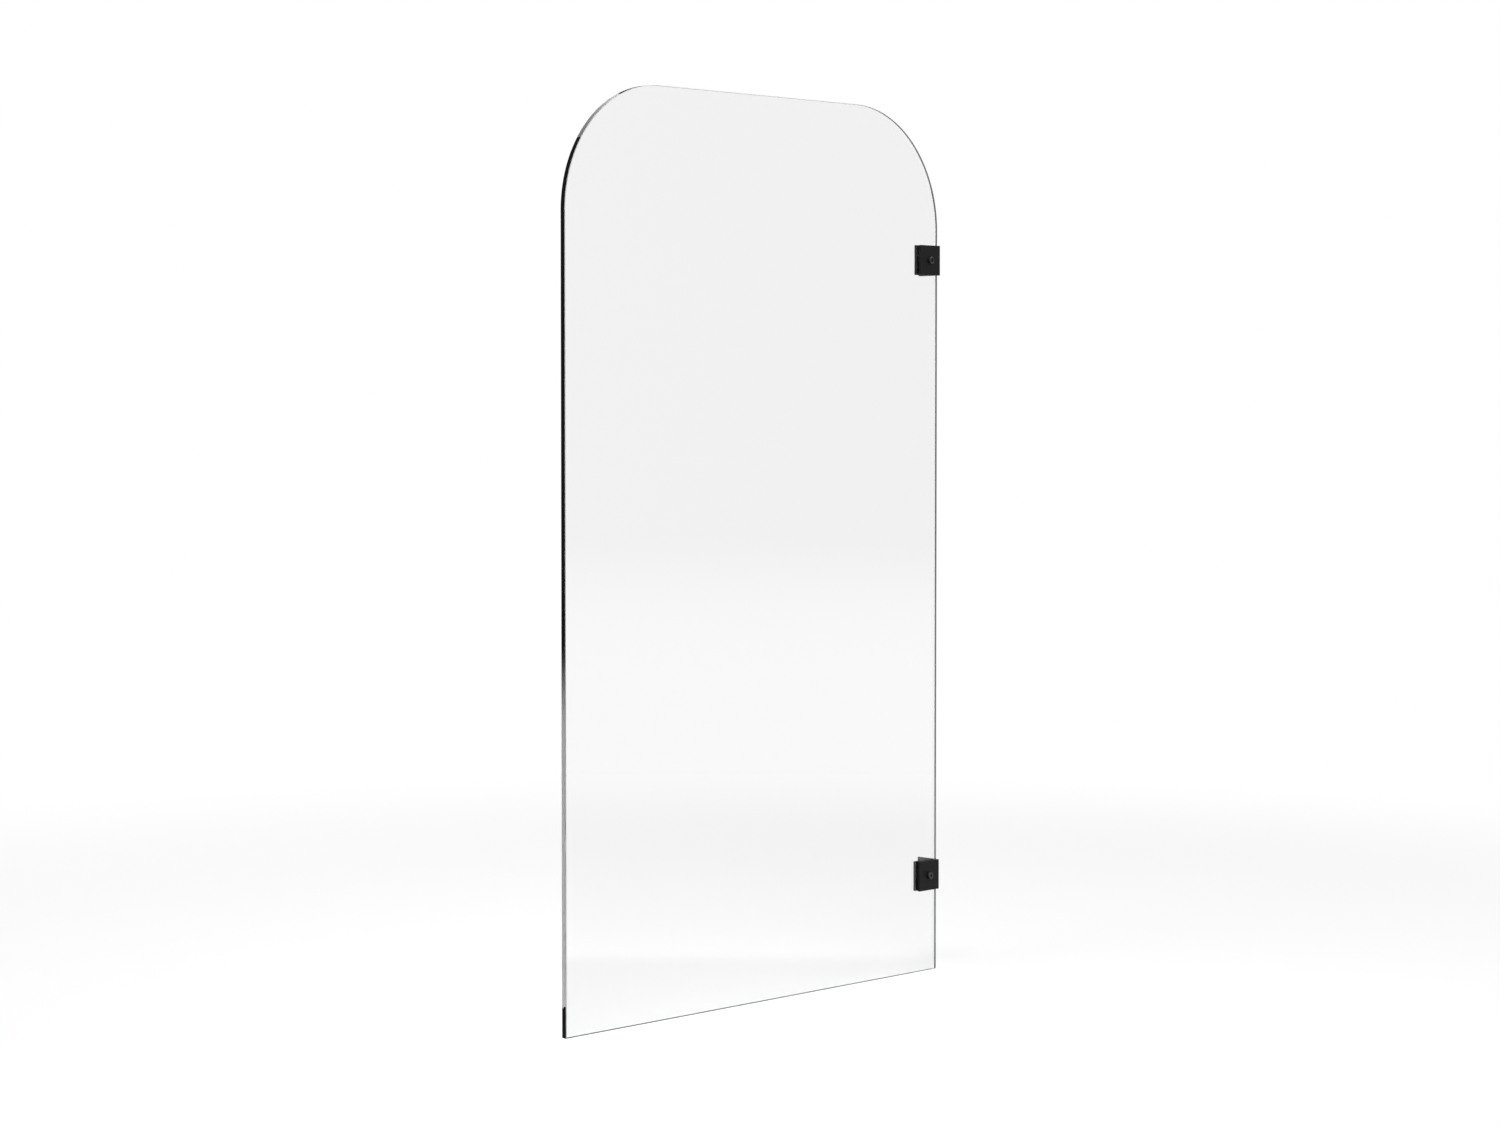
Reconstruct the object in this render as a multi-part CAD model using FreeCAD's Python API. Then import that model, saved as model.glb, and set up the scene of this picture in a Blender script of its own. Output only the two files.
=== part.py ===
import FreeCAD, Part
import os

# Fixed frameless bath screen: one pane of toughened glass with two large round top corners,
# held to the wall by two square clamp brackets.
#
# Millimetres. +X runs along the pane from its free edge to the wall, +Z is up, and -Y is the
# front, the side of the clamp plates. The origin is the middle of the pane's bottom edge.

# The glass pane
GLASS_WIDTH = 850.0
GLASS_HEIGHT = 1450.0
GLASS_THICKNESS = 10.0
TOP_CORNER_RADIUS = 200.0
BOTTOM_CORNER_RADIUS = 2.0
ARRIS = 0.8
GLASS_HOLE_DIAMETER = 14.0
GLASS_HOLE_ARRIS = 0.5

# Where the brackets sit: the height of each clamp's centre, and the pane's distance from the wall
BRACKET_HEIGHTS = {"lower": 162.0, "upper": 1200.0}
WALL_GAP = 2.0

# The L-shaped wall bracket: a leg behind the glass and a flange flat on the wall
BRACKET_HEIGHT = 50.0
LEG_LENGTH = 50.0
FLANGE_DEPTH = 35.0
METAL_THICKNESS = 4.0
INSIDE_CORNER_RADIUS = 2.0
EDGE_BREAK = 0.5
WALL_HOLE_DIAMETER = 5.5
WALL_HOLE_SINK_DIAMETER = 11.0
WALL_HOLE_SPACING = 26.0

# The clamp: front plate, gaskets, sleeve and screw
GASKET_THICKNESS = 0.5
GASKET_INSET = 1.0
SCREW_DIAMETER = 6.0
SCREW_HEAD_DIAMETER = 12.0
SCREW_HEAD_HEIGHT = 4.6
SCREW_HEAD_ROUND = 1.6
SCREW_TIP_SHORT = 0.4
SCREW_TIP_CHAMFER = 1.0
SCREW_CLEARANCE = 0.2
SLEEVE_CLEARANCE = 0.2
THREAD_MOUTH_CHAMFER = 0.5

# The screw's cross recess: across the arms and across one arm, at its mouth and at its floor
RECESS_SPAN = 6.9
RECESS_ARM = 1.9
RECESS_FLOOR_SPAN = 3.0
RECESS_FLOOR_ARM = 1.1
RECESS_DEPTH = 3.0

# Places that follow from the sizes above
GLASS_EDGE_X = GLASS_WIDTH / 2
GLASS_FACE_Y = GLASS_THICKNESS / 2
WALL_X = GLASS_EDGE_X + WALL_GAP
CLAMP_FREE_X = WALL_X - LEG_LENGTH
CLAMP_CENTRE_X = CLAMP_FREE_X + LEG_LENGTH / 2
LEG_FRONT_Y = GLASS_FACE_Y + GASKET_THICKNESS
LEG_BACK_Y = LEG_FRONT_Y + METAL_THICKNESS
FLANGE_BACK_Y = LEG_FRONT_Y + FLANGE_DEPTH
PLATE_BACK_Y = -LEG_FRONT_Y
PLATE_FRONT_Y = -LEG_BACK_Y

AXIS_Y = FreeCAD.Vector(0, 1, 0)
AXIS_X = FreeCAD.Vector(1, 0, 0)


def clamp_point(y, height):
    """A point on a clamp screw's axis."""
    return FreeCAD.Vector(CLAMP_CENTRE_X, y, height)


def clamp_cylinder(diameter, y, length, height):
    """A cylinder along a clamp screw's axis, starting at y."""
    return Part.makeCylinder(diameter / 2, length, clamp_point(y, height), AXIS_Y)


def rounded_plate(x_low, x_high, y_low, thickness, z_low, z_high, bottom_radius, top_radius):
    """An upright plate whose two bottom and two top corners are rounded."""
    bottom = bottom_radius
    top = top_radius
    slant = 1 - 0.5 ** 0.5

    def at(x, z):
        return FreeCAD.Vector(x, y_low, z)

    def line(start, end):
        return Part.LineSegment(start, end).toShape()

    def arc(start, middle, end):
        return Part.Arc(start, middle, end).toShape()

    edges = [
        line(at(x_low + bottom, z_low), at(x_high - bottom, z_low)),
        arc(at(x_high - bottom, z_low),
            at(x_high - slant * bottom, z_low + slant * bottom),
            at(x_high, z_low + bottom)),
        line(at(x_high, z_low + bottom), at(x_high, z_high - top)),
        arc(at(x_high, z_high - top),
            at(x_high - slant * top, z_high - slant * top),
            at(x_high - top, z_high)),
        line(at(x_high - top, z_high), at(x_low + top, z_high)),
        arc(at(x_low + top, z_high),
            at(x_low + slant * top, z_high - slant * top),
            at(x_low, z_high - top)),
        line(at(x_low, z_high - top), at(x_low, z_low + bottom)),
        arc(at(x_low, z_low + bottom),
            at(x_low + slant * bottom, z_low + slant * bottom),
            at(x_low + bottom, z_low)),
    ]
    outline = Part.Wire(edges)
    return Part.Face(outline).extrude(AXIS_Y * thickness)


def glass_hole(height):
    """The drilled hole of one clamp, with a ground arris at each face."""
    mouth = GLASS_HOLE_DIAMETER / 2 + GLASS_HOLE_ARRIS
    radius = GLASS_HOLE_DIAMETER / 2
    front = clamp_point(-GLASS_FACE_Y, height)
    back = clamp_point(GLASS_FACE_Y, height)
    hole = clamp_cylinder(GLASS_HOLE_DIAMETER, -GLASS_FACE_Y, GLASS_THICKNESS, height)
    hole = hole.fuse(Part.makeCone(mouth, radius, GLASS_HOLE_ARRIS, front, AXIS_Y))
    return hole.fuse(Part.makeCone(mouth, radius, GLASS_HOLE_ARRIS, back, -AXIS_Y))


def glass_panel():
    """The pane: polished edges with a ground arris all round, and one hole for each clamp."""
    pane = rounded_plate(-GLASS_EDGE_X, GLASS_EDGE_X, -GLASS_FACE_Y, GLASS_THICKNESS,
                         0.0, GLASS_HEIGHT, BOTTOM_CORNER_RADIUS, TOP_CORNER_RADIUS)
    rim = [edge for edge in pane.Edges if edge.BoundBox.YLength < ARRIS]
    pane = pane.makeChamfer(ARRIS, rim)
    for height in BRACKET_HEIGHTS.values():
        pane = pane.cut(glass_hole(height))
    return pane


def bracket_profile():
    """The L seen from above, with the round inside corner between leg and flange."""
    inside_x = WALL_X - METAL_THICKNESS
    radius = INSIDE_CORNER_RADIUS
    slant = (1 - 0.5 ** 0.5) * radius

    def at(x, y):
        return FreeCAD.Vector(x, y, 0)

    corner_start = at(inside_x, LEG_BACK_Y + radius)
    corner_middle = at(inside_x - slant, LEG_BACK_Y + slant)
    corner_end = at(inside_x - radius, LEG_BACK_Y)
    straight = Part.makePolygon([
        corner_end,
        at(CLAMP_FREE_X, LEG_BACK_Y),
        at(CLAMP_FREE_X, LEG_FRONT_Y),
        at(WALL_X, LEG_FRONT_Y),
        at(WALL_X, FLANGE_BACK_Y),
        at(inside_x, FLANGE_BACK_Y),
        corner_start,
    ])
    corner = Part.Arc(corner_start, corner_middle, corner_end).toShape()
    return Part.Wire(straight.Edges + [corner])


def wall_hole(height):
    """A countersunk hole for a wall screw, sunk on the room side of the flange."""
    radius = WALL_HOLE_DIAMETER / 2
    sink_radius = WALL_HOLE_SINK_DIAMETER / 2
    centre_y = (LEG_BACK_Y + FLANGE_BACK_Y) / 2
    mouth = FreeCAD.Vector(WALL_X - METAL_THICKNESS, centre_y, height)
    hole = Part.makeCylinder(radius, METAL_THICKNESS, mouth, AXIS_X)
    return hole.fuse(Part.makeCone(sink_radius, radius, sink_radius - radius, mouth, AXIS_X))


def wall_bracket(height):
    """The L-shaped body: threaded hole in the leg, two wall screw holes in the flange."""
    low_z = height - BRACKET_HEIGHT / 2
    body = Part.Face(bracket_profile()).extrude(FreeCAD.Vector(0, 0, BRACKET_HEIGHT))
    body.translate(FreeCAD.Vector(0, 0, low_z))

    inside_x = WALL_X - METAL_THICKNESS - INSIDE_CORNER_RADIUS
    inside_y = LEG_BACK_Y + INSIDE_CORNER_RADIUS
    sharp = []
    for edge in body.Edges:
        middle = edge.CenterOfMass
        upright = edge.BoundBox.ZLength > EDGE_BREAK
        inner = inside_x <= middle.x < WALL_X - EDGE_BREAK and LEG_FRONT_Y < middle.y <= inside_y
        if not (upright and inner):
            sharp.append(edge)
    body = body.makeChamfer(EDGE_BREAK, sharp)

    thread = clamp_cylinder(SCREW_DIAMETER, LEG_FRONT_Y, METAL_THICKNESS, height)
    thread_radius = SCREW_DIAMETER / 2
    mouth = Part.makeCone(thread_radius + THREAD_MOUTH_CHAMFER, thread_radius, THREAD_MOUTH_CHAMFER,
                          clamp_point(LEG_BACK_Y, height), -AXIS_Y)
    body = body.cut(thread.fuse(mouth))
    for side in (-1, 1):
        body = body.cut(wall_hole(height + side * WALL_HOLE_SPACING / 2))
    return body


def clamp_plate(height):
    """The square front plate, as large as the leg behind the glass."""
    corner = FreeCAD.Vector(CLAMP_FREE_X, PLATE_FRONT_Y, height - BRACKET_HEIGHT / 2)
    plate = Part.makeBox(LEG_LENGTH, METAL_THICKNESS, BRACKET_HEIGHT, corner)
    plate = plate.makeChamfer(EDGE_BREAK, plate.Edges)
    hole_diameter = SCREW_DIAMETER + 2 * SCREW_CLEARANCE
    return plate.cut(clamp_cylinder(hole_diameter, PLATE_FRONT_Y, METAL_THICKNESS, height))


def cross_outline(span, arm, y, height):
    """A plus-shaped outline in an upright plane."""
    reach = span / 2
    half = arm / 2
    corners = [
        (reach, -half), (reach, half), (half, half), (half, reach),
        (-half, reach), (-half, half), (-reach, half), (-reach, -half),
        (-half, -half), (-half, -reach), (half, -reach), (half, -half),
    ]
    centre = clamp_point(y, height)
    points = [centre + FreeCAD.Vector(x, 0, z) for x, z in corners]
    return Part.makePolygon(points + points[:1])


def clamp_screw(height):
    """The pan head clamp screw, with a tapered cross recess in its head."""
    head_radius = SCREW_HEAD_DIAMETER / 2
    radius = SCREW_DIAMETER / 2
    top_y = PLATE_FRONT_Y - SCREW_HEAD_HEIGHT
    tip_y = LEG_BACK_Y - SCREW_TIP_SHORT
    slant = (1 - 0.5 ** 0.5) * SCREW_HEAD_ROUND
    axis = clamp_point(0, height)

    def at(across, y):
        return axis + FreeCAD.Vector(across, y, 0)

    round_start = at(head_radius, top_y + SCREW_HEAD_ROUND)
    round_middle = at(head_radius - slant, top_y + slant)
    round_end = at(head_radius - SCREW_HEAD_ROUND, top_y)
    straight = Part.makePolygon([
        round_end,
        at(0, top_y),
        at(0, tip_y),
        at(radius - SCREW_TIP_CHAMFER, tip_y),
        at(radius, tip_y - SCREW_TIP_CHAMFER),
        at(radius, PLATE_FRONT_Y),
        at(head_radius, PLATE_FRONT_Y),
        round_start,
    ])
    head_round = Part.Arc(round_start, round_middle, round_end).toShape()
    half_section = Part.Wire(straight.Edges + [head_round])
    screw = Part.Face(half_section).revolve(axis, AXIS_Y, 360)

    mouth = cross_outline(RECESS_SPAN, RECESS_ARM, top_y, height)
    floor = cross_outline(RECESS_FLOOR_SPAN, RECESS_FLOOR_ARM, top_y + RECESS_DEPTH, height)
    return screw.cut(Part.makeLoft([mouth, floor], True, True))


def glass_sleeve(height):
    """The plastic sleeve that keeps the screw off the glass."""
    outer = GLASS_HOLE_DIAMETER - 2 * SLEEVE_CLEARANCE
    inner = SCREW_DIAMETER + 2 * SCREW_CLEARANCE
    sleeve = clamp_cylinder(outer, -GLASS_FACE_Y, GLASS_THICKNESS, height)
    return sleeve.cut(clamp_cylinder(inner, -GLASS_FACE_Y, GLASS_THICKNESS, height))


def gasket(y, height):
    """A thin square-cut gasket between glass and metal, a little smaller than the clamp all round."""
    width = GLASS_EDGE_X - CLAMP_FREE_X - 2 * GASKET_INSET
    tall = BRACKET_HEIGHT - 2 * GASKET_INSET
    corner = FreeCAD.Vector(CLAMP_FREE_X + GASKET_INSET, y, height - tall / 2)
    sheet = Part.makeBox(width, GASKET_THICKNESS, tall, corner)
    hole_diameter = SCREW_DIAMETER + 2 * SCREW_CLEARANCE
    return sheet.cut(clamp_cylinder(hole_diameter, y, GASKET_THICKNESS, height))


def build():
    """Every piece by its name."""
    pieces = {"glass_panel": glass_panel()}
    for place, height in BRACKET_HEIGHTS.items():
        pieces[place + "_wall_bracket"] = wall_bracket(height)
        pieces[place + "_clamp_plate"] = clamp_plate(height)
        pieces[place + "_clamp_screw"] = clamp_screw(height)
        pieces[place + "_glass_sleeve"] = glass_sleeve(height)
        pieces[place + "_front_gasket"] = gasket(PLATE_BACK_Y, height)
        pieces[place + "_rear_gasket"] = gasket(GLASS_FACE_Y, height)
    return pieces


def main():
    os.makedirs("parts", exist_ok=True)
    for name, shape in build().items():
        box = shape.optimalBoundingBox()
        print(name, "valid" if shape.isValid() else "INVALID", len(shape.Solids), "solid",
              "%.1f x %.1f x %.1f mm" % (box.XLength, box.YLength, box.ZLength),
              "%.1f cm3" % (shape.Volume / 1000))
        shape.exportStep("parts/" + name + ".step")


main()
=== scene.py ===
import math
from functools import partial

import bmesh
import bpy
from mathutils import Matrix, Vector
from mathutils.geometry import tessellate_polygon


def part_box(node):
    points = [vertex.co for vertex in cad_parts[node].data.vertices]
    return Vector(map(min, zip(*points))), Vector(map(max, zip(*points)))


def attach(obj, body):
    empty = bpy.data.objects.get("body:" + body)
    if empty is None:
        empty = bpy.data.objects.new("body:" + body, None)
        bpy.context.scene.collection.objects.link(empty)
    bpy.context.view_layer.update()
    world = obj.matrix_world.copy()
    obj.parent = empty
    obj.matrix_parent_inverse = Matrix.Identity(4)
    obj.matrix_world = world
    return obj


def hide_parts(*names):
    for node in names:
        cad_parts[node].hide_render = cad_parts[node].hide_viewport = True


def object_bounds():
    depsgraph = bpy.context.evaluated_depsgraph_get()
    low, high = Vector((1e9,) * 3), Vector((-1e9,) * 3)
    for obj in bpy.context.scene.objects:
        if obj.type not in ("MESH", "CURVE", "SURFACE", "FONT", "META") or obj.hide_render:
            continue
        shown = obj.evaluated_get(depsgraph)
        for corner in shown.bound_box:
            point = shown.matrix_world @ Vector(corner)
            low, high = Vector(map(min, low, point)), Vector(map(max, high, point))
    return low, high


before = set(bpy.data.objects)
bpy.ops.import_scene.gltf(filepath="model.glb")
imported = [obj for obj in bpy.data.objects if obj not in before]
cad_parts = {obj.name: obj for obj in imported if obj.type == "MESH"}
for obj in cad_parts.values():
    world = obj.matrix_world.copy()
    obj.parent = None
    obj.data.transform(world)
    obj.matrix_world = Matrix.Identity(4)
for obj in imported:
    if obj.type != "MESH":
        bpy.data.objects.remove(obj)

# Looks of the fixed bath screen, in metres. +X runs along the pane from its free edge to the
# wall, +Z is up, and -Y is the front. The glass is a fine mesh of its own; the metal, rubber
# and nylon pieces are the frame's own solids with finished materials.
CAD_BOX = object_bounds()
PLACES = ("lower", "upper")

# The camera of the photograph: where it stands, how far it is turned from +Y towards +X, how
# far it looks down, and its lens and sensor width in millimetres
CAMERA_PLACE = Vector((-3.7230, -3.6104, 0.9665))
CAMERA_HEADING = math.radians(45.708)
CAMERA_PITCH = math.radians(1.899)
CAMERA_LENS = 77.94
CAMERA_SENSOR = 36.0
CAMERA_SHIFT = -0.037
CAMERA_CLIP = (0.1, 100.0)

# The pane, beside the sizes that come from the frame. Its faces stand back by the clearance, so
# that they share no plane with the gaskets.
TOP_CORNER_RADIUS = 0.200
BOTTOM_CORNER_RADIUS = 0.002
ARRIS = 0.0008
HOLE_RADIUS = 0.007
FACE_CLEARANCE = 0.00002
TOP_CORNER_STEPS = 120
BOTTOM_CORNER_STEPS = 8
HOLE_STEPS = 64

# A short straight at each end of a round keeps its smooth shading off the long straight edges,
# and an angle above the sharp one isn't smoothed at all
CORNER_TAIL = 0.0004
SHARP_ANGLE = math.radians(30)

# The pane's materials, in the order of its slots. The arris is clear up to the foot's height
# above the pane's lowest point, and ground from there on. Up to that height its glass is also
# tinted darker, which is painted shade along the foot.
EDGE_SLOT, ARRIS_SLOT, FOOT_SLOT = 1, 2, 3
FOOT_HEIGHT = 0.0012

# Glass: how it bends light, and what each of its surfaces leaves of a lamp's light
GLASS_IOR = 1.52
GLASS_SHADE = (0.92, 0.93, 0.925, 1.0)

# Where nearly all of a noise's values lie, and how rough the noise is
NOISE_REACH = (0.3, 0.7)
NOISE_ROUGHNESS = 0.55

# The floor, a little below the part. Its paint and shadows show near the object, and further
# out it is plain white. In reflections it is white, and fades into the wall's grey far out. Both
# reaches are distances from the upright axis through the pane's middle.
FLOOR_DROP = 0.001
FLOOR_LEVEL = CAD_BOX[0].z - FLOOR_DROP
FLOOR_PAINT = 0.60
FLOOR_GLOW = 0.33
FLOOR_PAINT_REACH = (1.6, 3.2)
FLOOR_FADE = (5.5, 18.0)

# The wall: a grey ring far round the object, which shows only in reflections
WALL_DISTANCE = 25.0
WALL_HEIGHT = 29.0
WALL_SIDES = 96
WALL_TONE = 0.35

# The grey side of floor and wall, also only in reflections. It lies towards -X and +Y, and its
# near end fades in over the reach, which is measured in that direction from the pane's middle.
GREY_SIDE = (-0.7165, 0.6976, 0.0)
GREY_REACH = (-0.50, -0.32)
GREY_TONE = 0.15

# The light strip that the lower part of the free edge mirrors. It stands beside the edge in the
# plane of the pane's back face, so the faces don't mirror it. It comes up from nothing
# between the two heights of its fade, and from there its glow rises towards its foot.
STRIP_GAP = 0.0003
STRIP_WIDTH = 0.0105
STRIP_FOOT = 0.0465
STRIP_TOP = 0.61
STRIP_FADE = (0.600, 0.455)
STRIP_GLOW = (6.0, 7.3)

# The world is white where it is seen, and lights the object at this strength
WORLD_LIGHT = 0.45

# The soft lamps, aimed at the object's middle: place, length of a side, and power in watts
LAMPS = {
    "key_lamp": (Vector((-3.0, -2.0, 4.2)), 2.4, 150.0),
    "fill_lamp": (Vector((3.2, -2.2, 4.2)), 2.4, 70.0),
    "back_lamp": (Vector((0.5, 3.5, 4.0)), 3.4, 70.0),
}


# ---------------------------------------------------------------- helpers

class Nodes:
    """A material's or world's node tree, with short calls for the nodes that repeat."""

    def __init__(self, owner):
        owner.use_nodes = True
        self.tree = owner.node_tree
        self.tree.nodes.clear()

    def add(self, kind, inputs=None, **settings):
        node = self.tree.nodes.new(kind)
        for name, value in settings.items():
            setattr(node, name, value)
        for name, value in (inputs or {}).items():
            self.feed(node, name, value)
        return node

    def feed(self, node, name, value):
        """Sets a socket to a value, or links it to another node's socket."""
        socket = node.inputs[name]
        if isinstance(value, bpy.types.NodeSocket):
            self.tree.links.new(value, socket)
        else:
            socket.default_value = value

    def noise(self, scale, detail=4.0):
        place = self.add("ShaderNodeTexCoord").outputs["Object"]
        node = self.add("ShaderNodeTexNoise", {"Vector": place, "Scale": scale, "Detail": detail,
                                               "Roughness": NOISE_ROUGHNESS})
        return node.outputs["Fac"]

    def between(self, noise, low, high):
        """A number that follows a noise from low to high."""
        node = self.add("ShaderNodeMapRange", {"Value": noise, "From Min": NOISE_REACH[0],
                                               "From Max": NOISE_REACH[1],
                                               "To Min": low, "To Max": high})
        return node.outputs["Result"]

    def blend(self, factor, first, second):
        """A colour between two. A Mix node's sockets for colours are 6 and 7, and 2 comes out."""
        node = self.add("ShaderNodeMix", {0: factor, 6: (*first, 1.0), 7: (*second, 1.0)},
                        data_type="RGBA")
        return node.outputs[2]

    def bump(self, height, strength, distance):
        node = self.add("ShaderNodeBump", {"Height": height, "Strength": strength,
                                           "Distance": distance})
        return node.outputs["Normal"]

    def math(self, operation, first, second):
        return self.add("ShaderNodeMath", {0: first, 1: second}, operation=operation).outputs[0]

    def fade(self, value, reach):
        """0 before the reach, 1 after it, and smooth between."""
        node = self.add("ShaderNodeMapRange", {"Value": value, "From Min": reach[0],
                                               "From Max": reach[1]},
                        interpolation_type="SMOOTHSTEP")
        return node.outputs["Result"]

    def position(self):
        """The place of the shaded point in the scene."""
        return self.add("ShaderNodeNewGeometry").outputs["Position"]

    def white_sight(self):
        """1 for rays that see the white background: camera, glossy and transmission rays."""
        path = self.add("ShaderNodeLightPath").outputs
        direct = self.math("MAXIMUM", path["Is Camera Ray"], path["Is Glossy Ray"])
        return self.math("MAXIMUM", direct, path["Is Transmission Ray"])

    def mirrored(self):
        """1 for a ray that was reflected on its way, also inside glass; 0 for the rest."""
        path = self.add("ShaderNodeLightPath").outputs
        return self.math("GREATER_THAN", path["Glossy Depth"], 0.5)

    def mix(self, factor, first, second):
        """A shader between two."""
        return self.add("ShaderNodeMixShader", {0: factor, 1: first, 2: second}).outputs["Shader"]

    def glow(self, strength):
        """A plain white shader of that strength."""
        return self.add("ShaderNodeEmission", {"Strength": strength}).outputs["Emission"]

    def clear(self):
        """A shader that lets every ray pass."""
        return self.add("ShaderNodeBsdfTransparent").outputs["BSDF"]

    def surface(self, shader):
        """Makes that shader the material's surface."""
        self.add("ShaderNodeOutputMaterial", {"Surface": shader})


def new_material(name):
    """A material, and its node tree."""
    material = bpy.data.materials.new(name)
    return material, Nodes(material)


def new_object(name, data):
    """An object in the scene."""
    thing = bpy.data.objects.new(name, data)
    bpy.context.scene.collection.objects.link(thing)
    return thing


def circle(radius, steps, across=0.0, along=0.0):
    """Points of a full circle round a centre."""
    turns = [2 * math.pi * step / steps for step in range(steps)]
    return [(across + radius * math.cos(turn), along + radius * math.sin(turn)) for turn in turns]


# ---------------------------------------------------------------- the fittings' materials

def coat(name, shades, shade_scale, roughness, gloss_scale, ior, specular=0.5, grain=None):
    """An opaque surface whose colour and gloss drift a little.

    The colour lies between the two shades and the gloss between the two roughnesses, each by a
    noise of its own scale. A grain is a fine bump: its noise's scale and detail, its strength
    and its distance.
    """
    material, nodes = new_material(name)
    inputs = {"Base Color": nodes.blend(nodes.noise(shade_scale), *shades),
              "Roughness": nodes.between(nodes.noise(gloss_scale), *roughness),
              "IOR": ior, "Specular IOR Level": specular}
    if grain:
        scale, detail, strength, distance = grain
        inputs["Normal"] = nodes.bump(nodes.noise(scale, detail), strength, distance)
    nodes.surface(nodes.add("ShaderNodeBsdfPrincipled", inputs).outputs["BSDF"])
    return material


def matt_black_metal():
    """Matt black powder coat with a fine orange peel."""
    return coat("matt_black_metal", shades=((0.0065, 0.0065, 0.0067), (0.0100, 0.0100, 0.0103)),
                shade_scale=60.0, roughness=(0.44, 0.56), gloss_scale=140.0, ior=1.5,
                specular=0.15, grain=(1500.0, 2.0, 0.35, 0.0001))


def black_screw():
    """Black coated steel, smoother than the powder coat."""
    return coat("black_screw", shades=((0.005, 0.005, 0.0052), (0.009, 0.009, 0.0093)),
                shade_scale=300.0, roughness=(0.28, 0.40), gloss_scale=500.0, ior=1.6,
                grain=(2500.0, 2.0, 0.15, 0.00005))


def black_gasket():
    """Thin rubber sheet: dull, with a fine grain."""
    return coat("black_gasket", shades=((0.004, 0.004, 0.004), (0.007, 0.007, 0.007)),
                shade_scale=200.0, roughness=(0.72, 0.88), gloss_scale=400.0, ior=1.5,
                specular=0.2, grain=(3000.0, 3.0, 0.3, 0.00008))


def nylon_sleeve():
    """Moulded black nylon."""
    return coat("nylon_sleeve", shades=((0.022, 0.022, 0.022), (0.032, 0.032, 0.032)),
                shade_scale=250.0, roughness=(0.42, 0.55), gloss_scale=500.0, ior=1.53)


def finish_fittings():
    """Gives every bracket, plate, screw, gasket and sleeve its material."""
    metal = matt_black_metal()
    rubber = black_gasket()
    finishes = {
        "_wall_bracket": metal,
        "_clamp_plate": metal,
        "_clamp_screw": black_screw(),
        "_front_gasket": rubber,
        "_rear_gasket": rubber,
        "_glass_sleeve": nylon_sleeve(),
    }
    for place in PLACES:
        for ending, material in finishes.items():
            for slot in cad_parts[place + ending].material_slots:
                slot.material = material


# ---------------------------------------------------------------- the pane

def roller_wave(nodes):
    """The faint waviness that toughening leaves in a pane."""
    return nodes.bump(nodes.noise(4.0, detail=1.0), strength=0.05, distance=0.001)


def glass(name, colour, roughness, normal=None):
    """Clear glass that lets the lamps' light through to what is behind it."""
    material, nodes = new_material(name)
    body = nodes.add("ShaderNodeBsdfPrincipled", {"Base Color": (*colour, 1.0),
                                                  "Roughness": roughness, "IOR": GLASS_IOR,
                                                  "Transmission Weight": 1.0})
    if normal:
        nodes.feed(body, "Normal", normal(nodes))
    shade = nodes.add("ShaderNodeBsdfTransparent", {"Color": GLASS_SHADE})
    shadow = nodes.add("ShaderNodeLightPath").outputs["Is Shadow Ray"]
    nodes.surface(nodes.mix(shadow, body.outputs["BSDF"], shade.outputs["BSDF"]))
    return material


def pane_glasses():
    """The pane's materials in the order of its slots: faces, edge, arris and foot.

    The edge is polished and the arris ground. Along the foot the arris is clear, and its darker
    tint
    is painted shade: the photo draws a dark line there and none along the top.
    """
    return (
        glass("clear_glass", colour=(0.943, 0.945, 0.944), roughness=0.0, normal=roller_wave),
        glass("glass_edge", colour=(0.90, 0.91, 0.905), roughness=0.0),
        glass("glass_arris", colour=(0.95, 0.955, 0.952), roughness=0.6),
        # The foot's darker tint is painted shade along the bottom edge
        glass("glass_foot_painted_shade", colour=(0.86, 0.87, 0.865), roughness=0.12),
    )


def corner(centre_x, centre_z, radius, first_quarter, steps):
    """Points of a quarter round with its two tails, counter-clockwise as seen from the front."""
    points = []
    for step in range(-1, steps + 2):
        turn = min(max(step, 0), steps)
        tail = CORNER_TAIL * (step - turn)
        angle = math.pi / 2 * (first_quarter + turn / steps)
        points.append((centre_x + radius * math.cos(angle) - tail * math.sin(angle),
                       centre_z + radius * math.sin(angle) + tail * math.cos(angle)))
    return points


def pane_outline(low, high, inset):
    """The pane's outline, drawn in by inset: two tight bottom corners, two large top ones."""
    bottom = BOTTOM_CORNER_RADIUS
    top = TOP_CORNER_RADIUS
    corners = (
        (high.x - bottom, low.z + bottom, bottom, -1, BOTTOM_CORNER_STEPS),
        (high.x - top, high.z - top, top, 0, TOP_CORNER_STEPS),
        (low.x + top, high.z - top, top, 1, TOP_CORNER_STEPS),
        (low.x + bottom, low.z + bottom, bottom, 2, BOTTOM_CORNER_STEPS),
    )
    points = []
    for centre_x, centre_z, radius, quarter, steps in corners:
        points += corner(centre_x, centre_z, radius - inset, quarter, steps)
    return points


def hole_outline(centre, inset):
    """A drilled hole's edge; at the faces its arris makes it wider."""
    return circle(HOLE_RADIUS + inset, HOLE_STEPS, centre.x, centre.z)


def screw_centres():
    """The middle of each clamp screw. The holes in the glass lie on the same axes."""
    centres = []
    for place in PLACES:
        low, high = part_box(place + "_clamp_screw")
        centres.append((low + high) / 2)
    return centres


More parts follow.
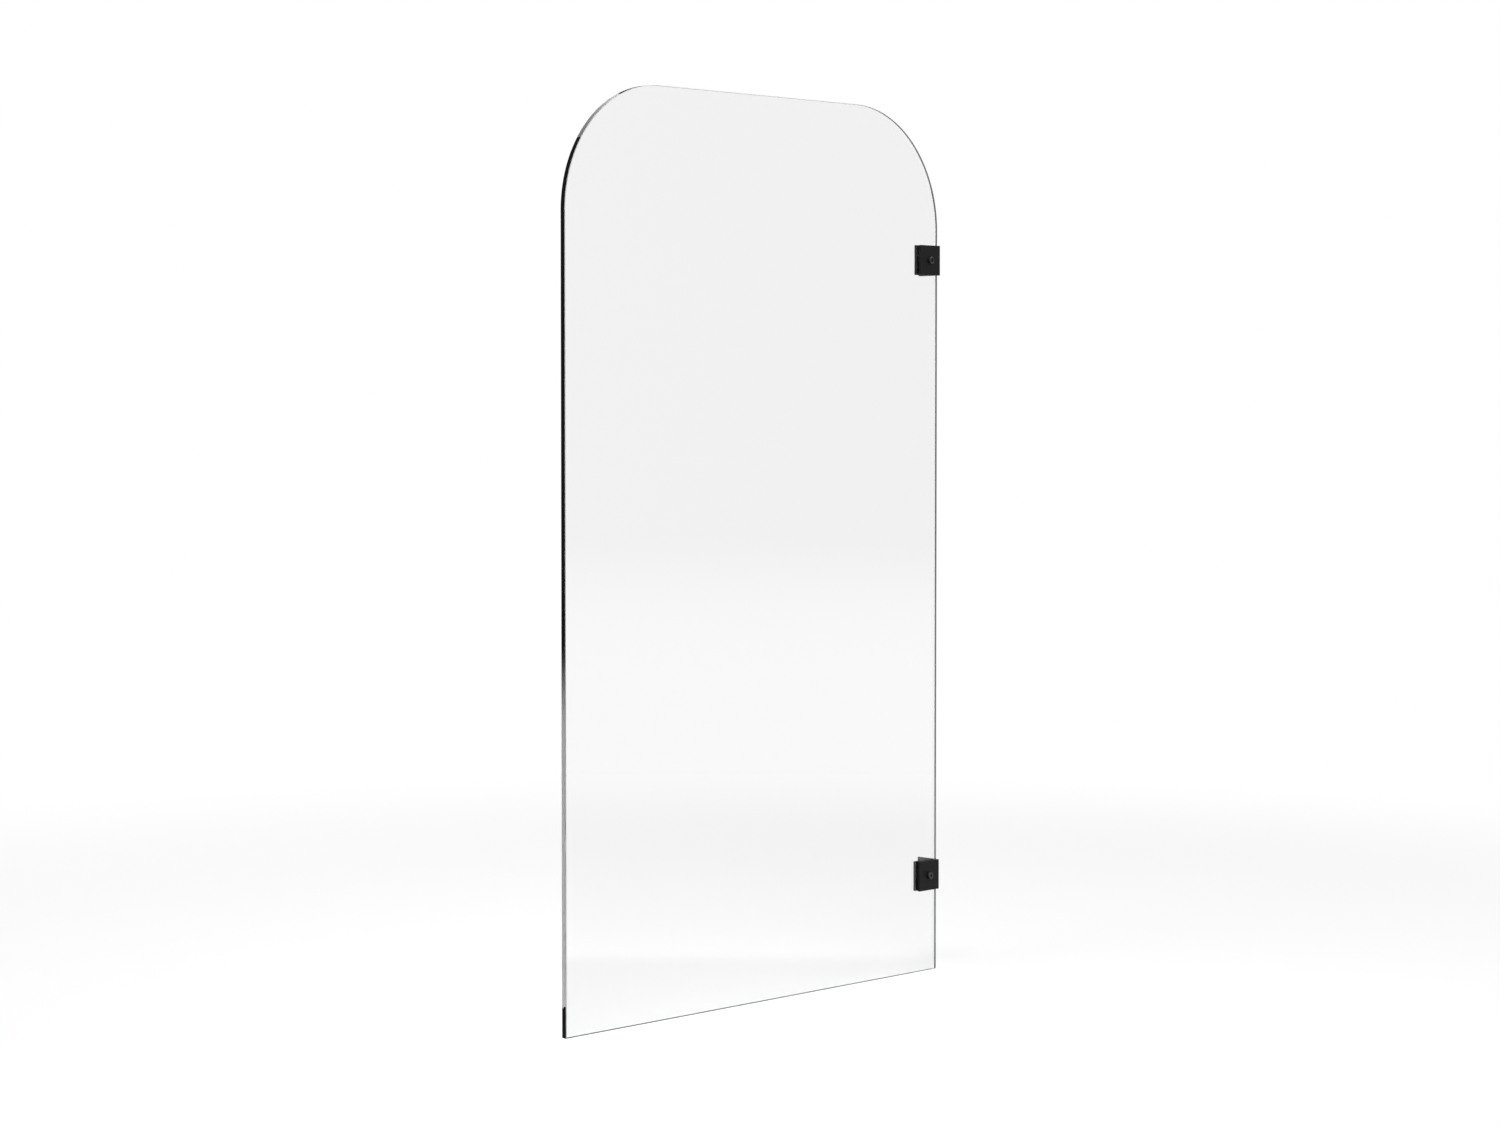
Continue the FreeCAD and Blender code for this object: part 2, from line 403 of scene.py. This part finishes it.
def ruled_loop(mesh, levels, outline_at, foot):
    """The ruled faces along one closed edge, from face to face: arris, edge and arris.

    Gives the loop's ring of vertices on the front and the one on the back.
    """
    rings = []
    for y, inset in levels:
        rings.append([mesh.verts.new((x, y, z)) for x, z in outline_at(inset)])
    for slot, near, far in zip((ARRIS_SLOT, EDGE_SLOT, ARRIS_SLOT), rings, rings[1:]):
        for i in range(len(near)):
            vertices = (near[i - 1], near[i], far[i], far[i - 1])
            at_foot = slot == ARRIS_SLOT and max(vertex.co.z for vertex in vertices) <= foot
            face = mesh.faces.new(vertices)
            face.material_index = FOOT_SLOT if at_foot else slot
            face.smooth = True
    return rings[0], rings[-1]


def pane_mesh(low, high):
    """The pane with its holes: two flat faces, and an arris on both sides of every edge."""
    front = low.y + FACE_CLEARANCE
    back = high.y - FACE_CLEARANCE
    levels = ((front, ARRIS), (front + ARRIS, 0.0), (back - ARRIS, 0.0), (back, ARRIS))
    outlines = [partial(pane_outline, low, high)]
    outlines += [partial(hole_outline, centre) for centre in screw_centres()]

    mesh = bmesh.new()
    loops = [ruled_loop(mesh, levels, outline_at, low.z + FOOT_HEIGHT) for outline_at in outlines]
    for rings in zip(*loops):
        vertices = [vertex for ring in rings for vertex in ring]
        for triangle in tessellate_polygon([[vertex.co for vertex in ring] for ring in rings]):
            mesh.faces.new([vertices[i] for i in triangle])
    bmesh.ops.recalc_face_normals(mesh, faces=mesh.faces)

    data = bpy.data.meshes.new("glass_pane")
    mesh.to_mesh(data)
    mesh.free()
    data.set_sharp_from_angle(angle=SHARP_ANGLE)
    return data


def glass_pane():
    """The toughened pane, in place of the frame's plain one."""
    data = pane_mesh(*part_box("glass_panel"))
    for material in pane_glasses():
        data.materials.append(material)
    pane = new_object("glass_pane", data)
    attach(pane, "root")
    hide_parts("glass_panel")


# ---------------------------------------------------------------- the studio

def stage_mesh(name, vertices, faces, material):
    """A piece of the studio. It glows only where a ray meets it, and isn't sampled as a lamp."""
    material.cycles.emission_sampling = "NONE"
    data = bpy.data.meshes.new(name)
    data.from_pydata(vertices, [], faces)
    data.materials.append(material)
    thing = new_object(name, data)
    return thing


def only_reflected(thing):
    """Hides a stage piece from camera, diffuse and shadow rays; its material sorts out the rest."""
    thing.visible_camera = False
    thing.visible_diffuse = False
    thing.visible_shadow = False


def from_axis(nodes):
    """The distance of the shaded point from the object's upright axis."""
    flat = nodes.add("ShaderNodeVectorMath", {0: nodes.position(), 1: (1.0, 1.0, 0.0)},
                     operation="MULTIPLY").outputs["Vector"]
    return nodes.add("ShaderNodeVectorMath", {0: flat}, operation="LENGTH").outputs["Value"]


def with_grey_side(nodes, plain):
    """What a reflected ray sees: plain, or grey on the grey side."""
    along = nodes.add("ShaderNodeVectorMath", {0: nodes.position(), 1: GREY_SIDE},
                      operation="DOT_PRODUCT").outputs["Value"]
    return nodes.mix(nodes.fade(along, GREY_REACH), plain, nodes.glow(GREY_TONE))


def studio_floor():
    """Pale floor: white to the camera and through glass, and it keeps the object's shadow."""
    material, nodes = new_material("studio_floor")
    distance = from_axis(nodes)
    paint = nodes.add("ShaderNodeBsdfDiffuse", {"Color": (FLOOR_PAINT,) * 3 + (1.0,)})
    lit = nodes.add("ShaderNodeAddShader", {0: paint.outputs["BSDF"],
                                            1: nodes.glow(FLOOR_GLOW)}).outputs["Shader"]
    seen = nodes.mix(nodes.fade(distance, FLOOR_PAINT_REACH), lit, nodes.glow(1.0))
    far = nodes.fade(distance, FLOOR_FADE)
    reflected = with_grey_side(nodes, nodes.mix(far, nodes.glow(1.0), nodes.glow(WALL_TONE)))
    plain = nodes.mix(nodes.white_sight(), paint.outputs["BSDF"], seen)
    nodes.surface(nodes.mix(nodes.mirrored(), plain, reflected))

    rim = [(x, y, FLOOR_LEVEL) for x, y in circle(WALL_DISTANCE, WALL_SIDES)]
    stage_mesh("studio_floor", rim, [tuple(range(WALL_SIDES))], material)


def studio_wall():
    """The grey ring round the studio."""
    material, nodes = new_material("studio_wall")
    tone = with_grey_side(nodes, nodes.glow(WALL_TONE))
    nodes.surface(nodes.mix(nodes.mirrored(), nodes.clear(), tone))

    ring = circle(WALL_DISTANCE, WALL_SIDES)
    vertices = [(x, y, z) for z in (FLOOR_LEVEL, FLOOR_LEVEL + WALL_HEIGHT) for x, y in ring]
    faces = []
    for side in range(WALL_SIDES):
        after = (side + 1) % WALL_SIDES
        faces.append((side, after, WALL_SIDES + after, WALL_SIDES + side))
    only_reflected(stage_mesh("studio_wall", vertices, faces, material))


def edge_strip():
    """The light strip that shows in the lower part of the free edge."""
    material, nodes = new_material("edge_strip")
    height = nodes.add("ShaderNodeSeparateXYZ", {"Vector": nodes.position()}).outputs["Z"]
    level = nodes.add("ShaderNodeMapRange", {"Value": height, "From Min": STRIP_FADE[1],
                                             "From Max": STRIP_FOOT, "To Min": STRIP_GLOW[0],
                                             "To Max": STRIP_GLOW[1]}).outputs["Result"]
    shown = nodes.math("MULTIPLY", nodes.mirrored(), nodes.fade(height, STRIP_FADE))
    nodes.surface(nodes.mix(shown, nodes.clear(), nodes.glow(level)))

    low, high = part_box("glass_panel")
    near = low.x - STRIP_GAP
    far = near - STRIP_WIDTH
    corners = ((near, high.y, STRIP_FOOT), (far, high.y, STRIP_FOOT),
               (far, high.y, STRIP_TOP), (near, high.y, STRIP_TOP))
    only_reflected(stage_mesh("edge_strip", corners, [(0, 1, 2, 3)], material))


def studio_world():
    """White behind everything, and an even soft light on the object."""
    world = bpy.data.worlds.new("studio_world")
    bpy.context.scene.world = world
    nodes = Nodes(world)
    strength = nodes.add("ShaderNodeMapRange", {"Value": nodes.white_sight(),
                                                "To Min": WORLD_LIGHT, "To Max": 1.0})
    light = nodes.add("ShaderNodeBackground", {"Color": (1.0, 1.0, 1.0, 1.0),
                                               "Strength": strength.outputs["Result"]})
    nodes.add("ShaderNodeOutputWorld", {"Surface": light.outputs["Background"]})


def studio_lamps():
    """The soft lamps over the object."""
    low, high = CAD_BOX
    aim = (low + high) / 2
    for name, (place, size, power) in LAMPS.items():
        lamp = bpy.data.lights.new(name, "AREA")
        lamp.shape = "SQUARE"
        lamp.size = size
        lamp.energy = power
        thing = new_object(name, lamp)
        thing.location = place
        thing.rotation_euler = (aim - place).to_track_quat("-Z", "Y").to_euler()


def studio_camera():
    """The photograph's camera."""
    camera = bpy.data.cameras.new("photo_camera")
    camera.lens = CAMERA_LENS
    camera.sensor_width = CAMERA_SENSOR
    camera.shift_y = CAMERA_SHIFT
    camera.clip_start, camera.clip_end = CAMERA_CLIP
    thing = new_object("photo_camera", camera)
    thing.location = CAMERA_PLACE
    thing.rotation_euler = (math.pi / 2 - CAMERA_PITCH, 0.0, -CAMERA_HEADING)
    bpy.context.scene.camera = thing


glass_pane()
finish_fittings()
studio_floor()
studio_wall()
edge_strip()
studio_world()
studio_lamps()
studio_camera()
bpy.context.scene.view_settings.view_transform = "Standard"
